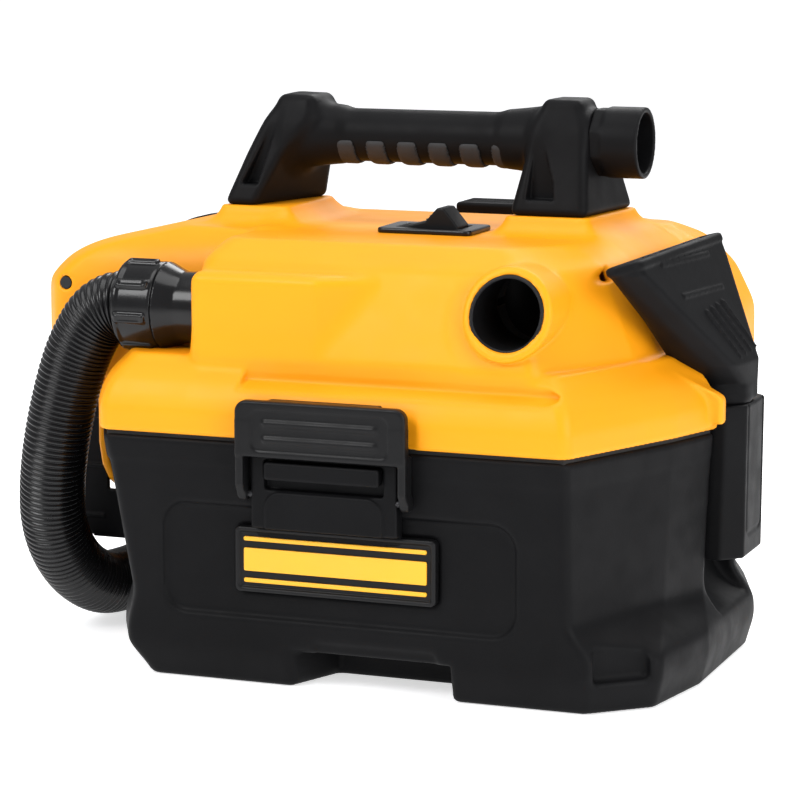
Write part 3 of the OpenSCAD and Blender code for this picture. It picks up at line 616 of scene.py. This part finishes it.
def head_shape(p):
    x, y, z = p.T
    d = head_outer(p)
    inner = np.maximum(d + 5.2, head_outer(p + (0, 0, 5)) + 0.6)
    # block behind the hose inlet
    plan = prism(p, 2, [(-80, -126), (-4, -126), (28, -111), (34, -60), (-80, -60)], 174, 226, r=7, e=7)
    face = prism(p, 1, [(-80, 174), (-6, 174), (18, 187), (30, 206), (30, 226), (-80, 226)], -140, -50, r=9)
    d = smin(d, smax(plan, face, 5), 4)
    # ear in front of the nozzle holder
    ear = loft(p, [(141, [(170, -28), (196, -28), (196, -19), (170, -19)]),
                   (156, [(170, -28), (196, -28), (196, -19), (170, -19)]),
                   (178, [(146, -47), (158, -47), (158, -32), (146, -32)])], 141, 177, r=2.5, e=1, soft=1.5)
    d = smin(d, ear, 3)
    # feet of the handle
    for foot, top in HANDLE_FEET:
        mid = [tuple(0.32 * np.array(a) + 0.68 * np.array(b)) for a, b in zip(foot, top)]
        d = smin(d, loft(p, [(226, foot), (236, mid), (250, top)], 222, 250, r=5, e=0.8, soft=3), 12)
    # blower port: scoop at the lower left, then the raised ring
    out, away = port_frame(p)
    d = smax(d, -smax(length(x - 98.5, z - 204.5) - 30, -(out + 3.6), 3), 3)
    d = smin(d, smax(smax(away - 24.6, out, 2.2), y, 1), 1.5)
    # hollow inside, open below
    under = loft(p, [(130, inset(BAND, 5.6)), (149, inset(BAND, 5.6)), (153, inset(BAND, 13))], 120, 153, r=6)
    d = np.maximum(d, -smin(np.maximum(inner, 152 - z), under, 3))
    # bores and recesses
    d = smax(d, -rod(p, 0, INLET, 17.2, -95, -70), 0.6)
    d = np.maximum(d, -smax(away - 19.6, -out - 60, 1))
    d = smax(d, -block(p, (3.5, -35.5, 225), (48.5, -8.5, 250), 1), 0.6)
    d = smax(d, -block(p, (-43, -175, 125), (59.2, -139.8, 162.5), 4), 3)
    d = np.maximum(d, -block(p, (-27, -175, 150), (43, -138.4, 161.5), 1))
    d = smax(d, -prism(p, 2, [(164.5, -18.5), (240, -18.5), (240, 44), (164.5, 44)], 125, 192, r=3), 2)
    d = smax(d, -(block(p, (-173.5, 40, 157.5), (-72.5, 170, 198.5), 2)), 1.2)
    d = smax(d, -(block(p, (-143, 118, 190), (-103, 170, 208), 4)), 1.5)
    d = np.maximum(d, -block(p, (-5.6, 99.8, 223.8), (37.6, 170, 250), 0.5))
    d = np.maximum(d, -smax(rod(p, 1, COWL, 56.2, 95.8, 170), 206 - z, 0.5))
    for at, start in (((-186, 206), -53), ((138, 224), -55)):
        hole = rod(p, 1, at, 6.2, start - 26, start - 6, 0, r2=3.8)
        d = smax(d, -np.minimum(hole, rod(p, 1, at, 3.8, start - 26, start + 2)), 1.2)
    return d


solid("head_moulding", head_shape, (-206, -144, 136), (199, 154, 252), 1.6, "head_body", YELLOW,
      ["head_shell"])


def skirt_shape(p):
    return prism(p, 0, [(-51, 153), (-51, 112), (-47, 98), (-38, 87), (-22, 78), (-12, 75), (-12, 153)],
                 -171.5, -167, r=5, e=1.2)


def cradle_shape(p):
    d = prism(p, 1, [(-190, 152), (-190, 62), (-181, 53), (-154, 53), (-154, 82), (-171.5, 82), (-171.5, 152)],
              -40, -36, r=1.5, e=0.8)
    # stiffening ribs on the front face
    for z in (66, 96, 124):
        d = smin(d, block(p, (-188, -41.6, z - 1), (-173, -37, z + 1), 0.6), 0.8)
    return d


solid("side_skirt_moulding", skirt_shape, (-173, -53, 73), (-165, -10, 153), 1.3, "head_body", YELLOW,
      ["side_skirt"])
solid("hose_cradle_moulding", cradle_shape, (-191, -42, 52), (-153, -35, 152), 1.1, "head_body", BLACK,
      ["hose_cradle"])


def liner_shape(p):
    out, away = port_frame(p)
    d = np.maximum(away - 20.6, np.abs(p[:, 1] + 103) - 22)
    d = smax(smax(d, out - 1.0, 0.8), -(away - 18.5), 0.6)
    return np.maximum(d, -rod(p, 1, (PORT[0], PORT[2]), 18.5, -200, -90))


solid("port_liner_moulding", liner_shape, (82, -126, 188), (124, -80, 230), 1.1, "head_body", SATIN,
      ["port_liner"])

# ---------------------------------------------------------------- hose connector and its collar


def connector_shape(p):
    d = rod(p, 0, INLET, 20.0, -106, -80.5, 0.8)
    d = smin(d, rod(p, 0, INLET, 25.2, -106.3, -96, 0.6, r2=20.0), 1.5)
    d = np.minimum(d, rod(p, 0, INLET, 19.9, -130.8, -104, 0.6))
    d = np.minimum(d, rod(p, 0, INLET, 16.9, -90, -78.2, 0.4))
    return np.maximum(d, -rod(p, 0, INLET, 14.5, -150, -60))


def collar_shape(p):
    d = rod(p, 0, INLET, 24.9, -130, -106.6, 2.0)
    d = smin(d, rod(p, 0, INLET, 25.6, -130, -127, 1.0), 1.0)
    for a in range(0, 360, 45):
        c, s = math.cos(math.radians(a + 10)), math.sin(math.radians(a + 10))
        y, z = p[:, 1] - INLET[0], p[:, 2] - INLET[1]
        q = np.stack([p[:, 0], y * c + z * s, -y * s + z * c], 1)
        d = smin(d, block(q, (-128.5, 22, -2.6), (-109.5, 26.9, 2.6), 1.4), 1.0)
        d = smax(d, -block(q, (-126, 26.3, -1.2), (-112, 29, 1.2), 0.6), 0.6)
    return np.maximum(d, -rod(p, 0, INLET, 20.05, -160, -100))


solid("hose_connector_moulding", connector_shape, (-132, -119, 173), (-77, -65, 227), 0.95, "head_body", GLOSS,
      ["hose_connector"])
solid("collar_nut_moulding", collar_shape, (-131, -120, 172), (-106, -64, 228), 0.9, "collar", GLOSS,
      ["collar_nut"])

# ---------------------------------------------------------------- handle

GRIP = (14, 290)


def handle_shape(p):
    left = loft(p, [(250, [(-106, -20), (-86, -20), (-66, 50), (-98, 50)]),
                    (280, [(-95, -11), (-72, -11), (-58, 42), (-88, 42)]),
                    (300, [(-86, -6), (-56, -6), (-50, 33), (-80, 33)]),
                    (309, [(-79, -1), (-56, -1), (-54, 29), (-75, 29)])], 250.2, 313, r=5, e=4, soft=3.5)
    right = loft(p, [(250, [(68, -20), (114, -20), (122, 50), (76, 50)]),
                     (280, [(74, -11), (111, -11), (115, 41), (78, 41)]),
                     (300, [(77, -6), (110, -6), (110, 33), (78, 33)]),
                     (310, [(82, -1), (105, -1), (105, 28), (83, 28)])], 250.2, 314, r=5, e=4, soft=3.5)
    grip = rod(p, 0, GRIP, 15.2, -68, 96, 2)
    horn = rod(p, 0, GRIP, 21, -72, -40, 3, r2=15.3)
    neck = rod(p, 0, GRIP, 15.3, 56, 84, 3, r2=20)
    flange = rod(p, 0, GRIP, 19, 96, 109.8, 1.2)
    d = smin(smin(grip, horn, 6), neck, 6)
    d = smin(smin(d, left, 8), smin(right, flange, 4), 6)
    d = np.maximum(d, 250.2 - p[:, 2])
    # wedge recesses on the post fronts
    d = smax(d, -prism(p, 1, [(-95, 262), (-85, 262), (-77, 296), (-79, 297)], -40, -7.5, r=0.8), 1.4)
    d = smax(d, -prism(p, 1, [(78, 259), (94, 259), (93, 268), (84, 294), (81, 294)], -40, -9, r=0.8), 1.4)
    return np.maximum(d, -rod(p, 0, GRIP, 11.06, -52, 130))


def pads_shape(p):
    x, y, z = p.T
    d = np.full(len(p), 1e9)
    away = length(y - GRIP[0], z - GRIP[1])
    for i in range(6):
        bump = length(np.maximum(np.abs(x + 37 - i * 19) - 2.5, 0), (away - 12.9) * 1.35) - 5.2
        d = np.minimum(d, smax(bump, z - 288.5, 4))
    return np.maximum(d, 15.25 - away)


solid("handle_moulding", handle_shape, (-108, -22, 249), (124, 52, 315), 1.35, "head_body", HANDLE,
      ["handle"])
solid("grip_pad_set", pads_shape, (-46, -4, 272), (68, 32, 286), 0.8, "head_body", PADS,
      ["grip_pads"])


def crevice_shape(p):
    x, y, z = p.T
    d = rod(p, 0, GRIP, 20, 110.6, 138.4, 0.8)
    # eight flats towards the mouth
    a = np.arctan2(z - GRIP[1], y - GRIP[0])
    turn = (a + math.pi / 8) % (math.pi / 4) - math.pi / 8
    flat = length(y - GRIP[0], z - GRIP[1]) * np.cos(turn) - 18.9
    d = smax(d, smin(flat, 118 - x, 3), 1.0)
    d = np.minimum(d, rod(p, 0, GRIP, 10.95, -49.8, 115, 0.6))
    mouth = rod(p, 0, GRIP, 17, 112, 160)
    return np.maximum(smax(d, -mouth, 0.8), -rod(p, 0, GRIP, 8.5, -70, 160))


solid("crevice_tool_moulding", crevice_shape, (-51, -8, 269), (140, 36, 311), 1.1, "crevice", HANDLE,
      ["crevice_tool"])

# ---------------------------------------------------------------- wide nozzle and its holder


SOCKET = (186, 5)
HORN_FOOT = (175, -15)
HORN_TURN = math.radians(9.3)


def horn_frame(p, t):
    """Flared mouth, in a frame turned to lie along it: the point, its half width, middle, inner and outer face."""
    c, s = math.cos(HORN_TURN), math.sin(HORN_TURN)
    dx, dy = p[:, 0] - HORN_FOOT[0], p[:, 1] - HORN_FOOT[1]
    x, y = dx * c - dy * s, dx * s + dy * c
    z = p[:, 2]
    w = np.interp(z, [150, 160, 228, 244], [17, 17, 61, 62]) - t
    mid = np.interp(z, [150, 160, 228, 244], [21.5, 21.5, -17, -18.5])
    front = np.interp(z, [150, 160, 200, 240], [-9.4, -9.4, -11, -17.8]) + t
    back = np.interp(z, [150, 172, 240], [24.6, 24.6, -2.8]) - t
    return x, y, z, w, mid, front, back


def nozzle_shape(p):
    neck = rod(p, 2, SOCKET, 15.9, 78.2, 158, 0.8)
    ring = rod(p, 2, SOCKET, 16.9, 149.6, 153, 0.8)
    x, y, z, w, mid, front, back = horn_frame(p, 0)
    r = 6.0
    cx, cy = (front + back) / 2, mid
    qx, qy = np.abs(x - cx) - (back - front) / 2 + r, np.abs(y - cy) - w + r
    d2 = np.minimum(np.maximum(qx, qy), 0) + length(np.maximum(qx, 0), np.maximum(qy, 0)) - r
    # broad bevel between the wide outer face and the front edge
    bevel = ((x - back) * 0.62 - (y - (mid - w)) * 0.78) + 8.5
    d2 = smax(d2 * 0.86, bevel * 0.8, 3)
    top = 239 + (p[:, 1] + 31) * 0.05 + x * 0.3
    d = smax(d2, z - top, 2.5)
    d = smax(d, 150 - z, 2)
    # raised lip round the mouth
    lip = smax(d2 - 1.0, np.abs(z - top + 3.0) - 2.4, 1.5)
    d = smin(d, lip, 1.2)
    d = smin(smin(d, neck, 3), ring, 1.5)
    # shallow frame and grip ribs on the outer face, without any mark
    face = np.abs(x - back)
    for z0, z1 in ((212.0, 214.4), (230.0, 232.4)):
        line = smax(smax(z0 - z, z - z1, 0.4), np.abs(y - mid - 4) - w * 0.5, 0.6)
        d = smin(d, smax(line, face - 0.7, 0.4), 0.8)
    for k in range(4):
        foot = capsule(np.stack([x - back, y - (mid - 2 + 8.5 * k) + (z - 186) * 0.25, z], 1), (0, 0, 176 + k),
                       (0, 0, 202 + k), 0.8, 1.8)
        d = smin(d, foot, 0.8)
    # hollow
    x, y, z, w, mid, front, back = horn_frame(p, 3.3)
    cx, cy = (front + back) / 2, mid
    qx, qy = np.abs(x - cx) - (back - front) / 2 + 3, np.abs(y - cy) - w + 3
    hollow = np.minimum(np.maximum(qx, qy), 0) + length(np.maximum(qx, 0), np.maximum(qy, 0)) - 3
    hollow = smax(hollow, ((x - back) * 0.62 - (y - (mid - w)) * 0.78) + 8.5, 3)
    hollow = smax(hollow * 0.86, 158 - z, 3)
    return np.maximum(d, -smin(hollow, rod(p, 2, SOCKET, 13, 60, 170), 2))


solid("wide_nozzle_moulding", nozzle_shape, (138, -98, 77), (208, 48, 247), 1.15, "nozzle", BLACK,
      ["wide_nozzle"])


def holder_shape(p):
    x, y, z = p.T
    low = [(168, -15), (193, -16), (203.5, -5), (203.5, 34), (199, 38), (168, 38)]
    high = [(168, -15), (195, -16), (204, -5), (204, 34), (200, 38), (168, 38)]
    d = loft(p, [(62, low), (149, high)], 62.2, 148.8, r=2.5, e=1.5, soft=4)
    d = smin(d, block(p, (160.3, -16, 141.5), (172, 30, 149), 1), 2)
    # frame line on the outer face
    outer = np.abs(prism(p, 0, [(-1, 75), (31, 75), (31, 160), (-1, 160)], 150, 220, r=5)) - 0.9
    d = smax(d, -np.maximum(outer, 203 - x), 0.8)
    return np.maximum(d, -rod(p, 2, SOCKET, 16.1, 66, 200))


solid("nozzle_holder_moulding", holder_shape, (159, -30, 61), (206, 40, 150), 1.2, "head_body", BLACK,
      ["nozzle_holder"])

# ---------------------------------------------------------------- switch


def bezel_shape(p):
    d = prism(p, 2, rounded_rect(-2, 54, -41, -3), 239.9, 243, r=4, e=1.1)
    d = smin(d, block(p, (4.3, -34.7, 229), (47.7, -9.3, 241), 0.5), 0.4)
    return smax(d, -block(p, (6.9, -32.1, 220), (45.1, -11.9, 260), 1), 0.8)


def rocker_shape(p):
    d = prism(p, 1, [(9, 237), (43, 237), (43.2, 243.8), (34.6, 254), (30.8, 254), (24, 246.5), (9, 242.8)],
              -31.4, -12.6, r=0.8, e=0.9)
    d = smin(d, rod(p, 1, (26, 238), 1.5, -34, -10, 0.2), 0.3)
    # grip lines on the raised flank
    for k in range(4):
        across, up = 28.2 - 2.6 * k * 0.8, 251.0 - 2.3 * k * 0.8 + 0.1
        d = smin(d, capsule(p, (across, -29, up), (across, -15, up), 0.45, 0.45), 0.4)
    return d


solid("switch_bezel_moulding", bezel_shape, (-3, -42, 228), (55, -2, 244), 0.8, "head_body", GLOSS,
      ["switch_bezel"])
solid("switch_rocker_moulding", rocker_shape, (8, -35, 235), (44, -9, 255), 0.6, "rocker", SATIN,
      ["switch_rocker"])

# ---------------------------------------------------------------- rear


def cord_box_shape(p):
    d = block(p, (-5.4, 100.1, 224.1), (37.4, 129.9, 243.9), 2.2)
    for k in range(5):
        d = smax(d, -block(p, (-10, 104.5 + 4.5 * k, 242.7), (60, 106.5 + 4.5 * k, 250), 0.4), 0.5)
    return np.maximum(d, -rod(p, 1, (16, 234), 5, 112, 140))


def cowl_shape(p):
    x, z = p[:, 0], p[:, 2]
    d = smax(rod(p, 1, COWL, 55.9, 96.1, 111.9, 1.4), 206.2 - z, 0.8)
    d = np.maximum(d, -rod(p, 1, COWL, 52, 80, 108.8))
    for k in range(7):
        d = smax(d, -block(p, (-190 + 9 * k, 100, 210), (-185.5 + 9 * k, 120, 222 + min(k, 5)), 1), 0.8)
    return np.maximum(d, np.maximum(x + 112.3, -204 - x))


def pack_shape(p):
    d = block(p, (-171.9, 60, 158.1), (-74.1, 135.9, 197.9), 3)
    d = smin(d, block(p, (-155.9, 50.1, 166), (-90.1, 66, 196), 1.5), 1)
    d = np.maximum(d, -block(p, (-152, 40, 168), (-94, 58, 194)))
    for k in range(6):
        d = smax(d, -block(p, (-168, 134.6, 162 + 4 * k), (-78, 140, 163.6 + 4 * k), 0.5), 0.6)
    return np.maximum(d, -block(p, (-140, 126, 188), (-106, 145, 205), 0.5))


def button_shape(p):
    d = block(p, (-138.9, 128.1, 189.1), (-107.1, 135.4, 196.9), 1.4)
    for k in range(5):
        d = smax(d, -block(p, (-131 + 4 * k - 0.7, 120, 196.3), (-131 + 4 * k + 0.7, 140, 200), 0.3), 0.4)
    return d


solid("cord_box_moulding", cord_box_shape, (-6, 99, 223), (38, 131, 245), 1.0, "head_body", BLACK,
      ["cord_inlet_box"])
solid("vent_cowl_moulding", cowl_shape, (-205, 95, 205), (-111, 113, 232), 1.1, "head_body", BLACK,
      ["vent_cowl"])
solid("battery_pack_moulding", pack_shape, (-173, 49, 157), (-73, 137, 199), 1.4, "pack", BLACK,
      ["battery_pack"])
solid("pack_button_moulding", button_shape, (-140, 127, 188), (-106, 137, 198), 0.9, "pack_button", RED,
      ["battery_button"])

# ---------------------------------------------------------------- stage and light

FAR = 40000
SOFT_WHITE = (0.97, 0.98, 1.0, 1)
floor_v = np.array([(-FAR, -FAR, 0), (FAR, -FAR, 0), (FAR, FAR, 0), (-FAR, FAR, 0)], float)
floor_look = material("studio_floor", (0.86, 0.86, 0.87), 0.6, 1.2, 0.02, 0.01)
floor_shader = floor_look.node_tree.nodes["Principled BSDF"]
floor_shader.inputs["Emission Color"].default_value = (1, 1, 1, 1)
floor_shader.inputs["Emission Strength"].default_value = 0.62
floor = mesh_object("studio_floor", floor_v - (0, 0, 0.4), np.array([[0, 1, 2, 3]]), floor_look, smooth=False)


def area_light(name, at, aim, size, power):
    """Rectangular lamp turned towards a point."""
    light = bpy.data.lights.new(name, "AREA")
    light.shape = "RECTANGLE"
    light.size, light.size_y = size
    light.energy = power
    o = bpy.data.objects.new(name, light)
    o.location = at
    o.rotation_euler = (Vector(aim) - Vector(at)).to_track_quat("-Z", "Y").to_euler()
    bpy.context.scene.collection.objects.link(o)


area_light("key_light", (-0.9, -1.5, 1.5), (0, 0, 0.15), (1.0, 0.8), 26)
area_light("right_light", (1.5, -0.7, 0.8), (0.05, 0, 0.15), (0.9, 1.2), 15)
area_light("rear_light", (0.2, 1.4, 1.4), (0, 0, 0.2), (1.6, 0.6), 20)
area_light("top_light", (0, -0.1, 1.8), (0, 0, 0.2), (1.4, 1.0), 14)

world = bpy.data.worlds.new("studio")
world.use_nodes = True
sky = world.node_tree.nodes["Background"]
sky.inputs["Color"].default_value = SOFT_WHITE
sky.inputs["Strength"].default_value = 0.5
bpy.context.scene.world = world
bpy.context.scene.view_settings.view_transform = "Standard"
